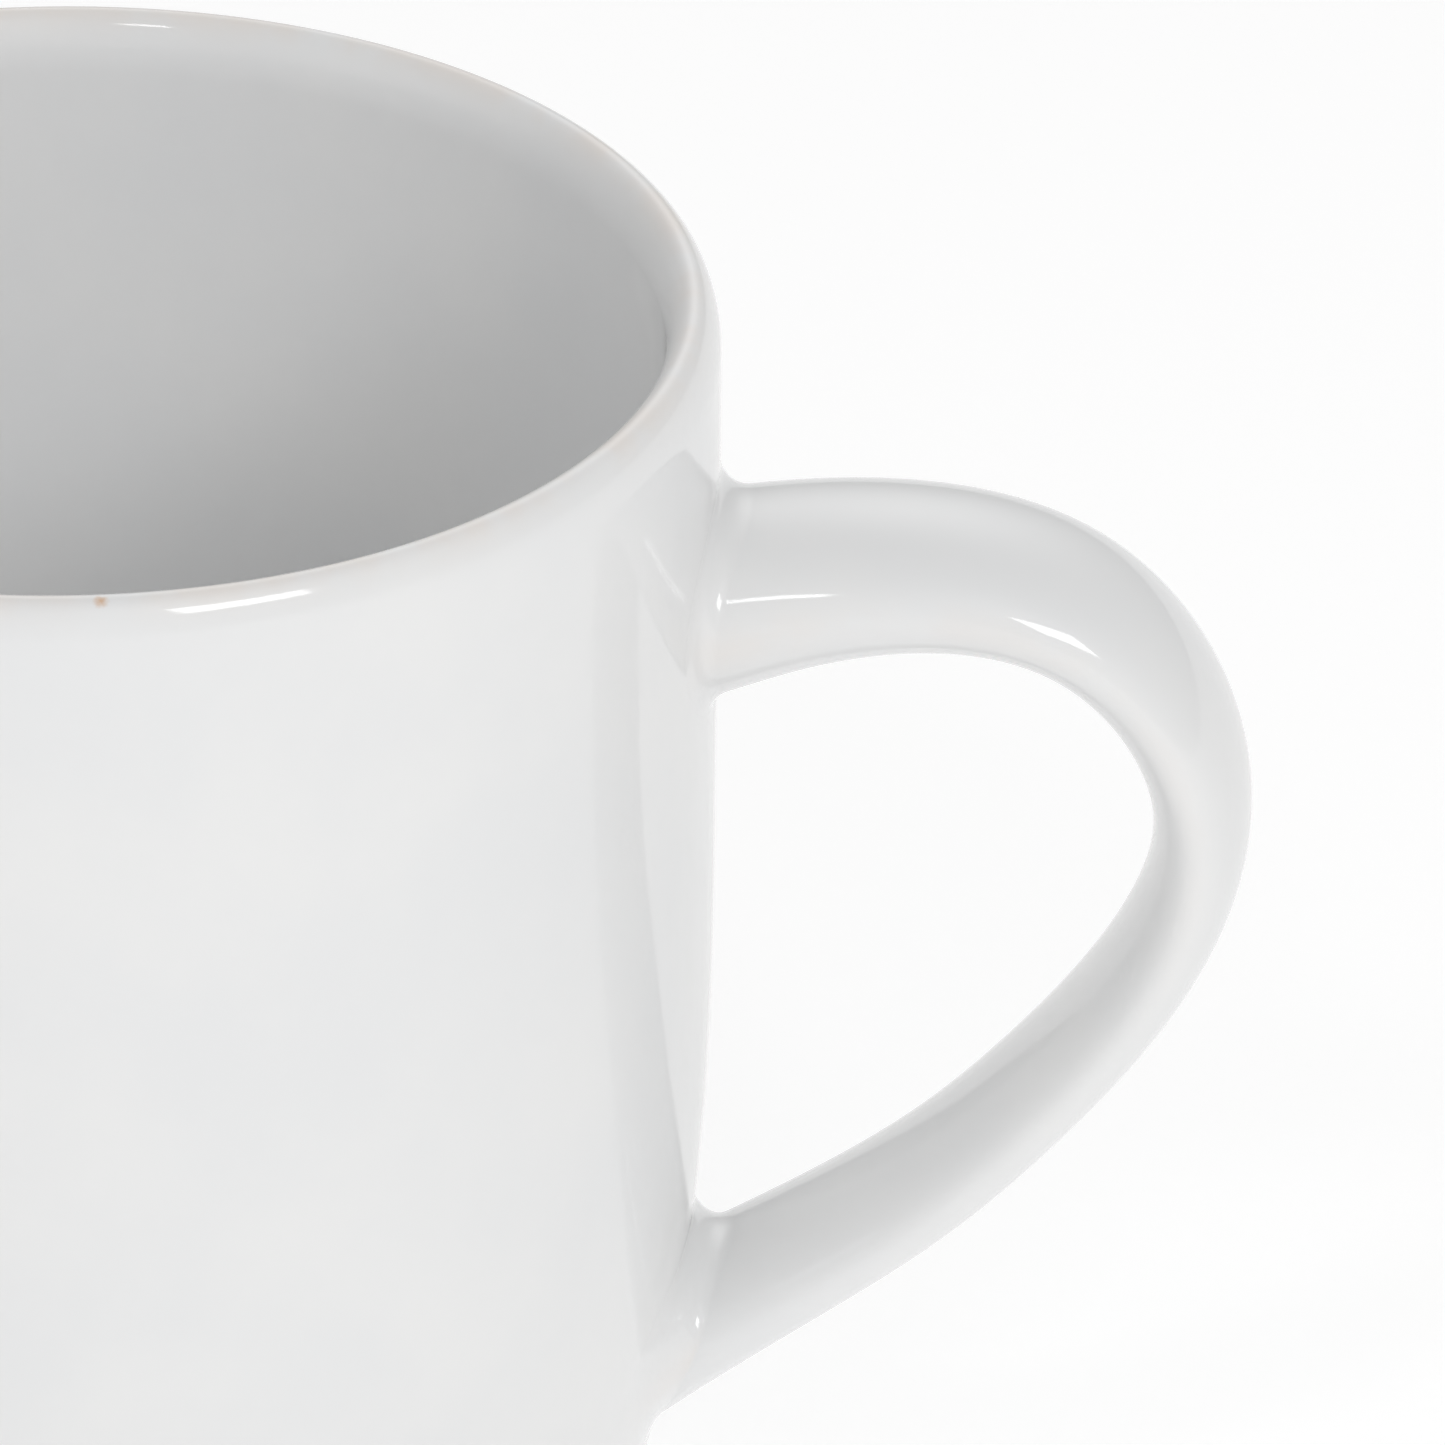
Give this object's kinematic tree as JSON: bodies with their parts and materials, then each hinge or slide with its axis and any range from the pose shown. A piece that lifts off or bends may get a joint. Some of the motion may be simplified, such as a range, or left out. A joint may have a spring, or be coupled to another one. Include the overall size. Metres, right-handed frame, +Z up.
{
  "type": "mug",
  "caption": "Glazed ceramic mug with a near-straight wall that curves in to a bare foot ring, and a wide strap handle.",
  "frame": {"origin": "centre of the foot ring's underside, where the mug stands", "axes": "+Z up the mug's axis, towards the rim; +X towards the handle"},
  "size_m": [0.115, 0.082, 0.095],
  "materials": {
    "bare_clay": "matt fired clay",
    "white_glaze": "gloss white glaze"
  },
  "bodies": {
    "root": {"cup_body": "bare_clay", "handle": "bare_clay", "upper_slip_joint": "bare_clay", "lower_slip_joint": "bare_clay", "exterior_glaze": "white_glaze", "interior_glaze": "white_glaze", "base_glaze": "white_glaze"}
  },
  "joints": []
}
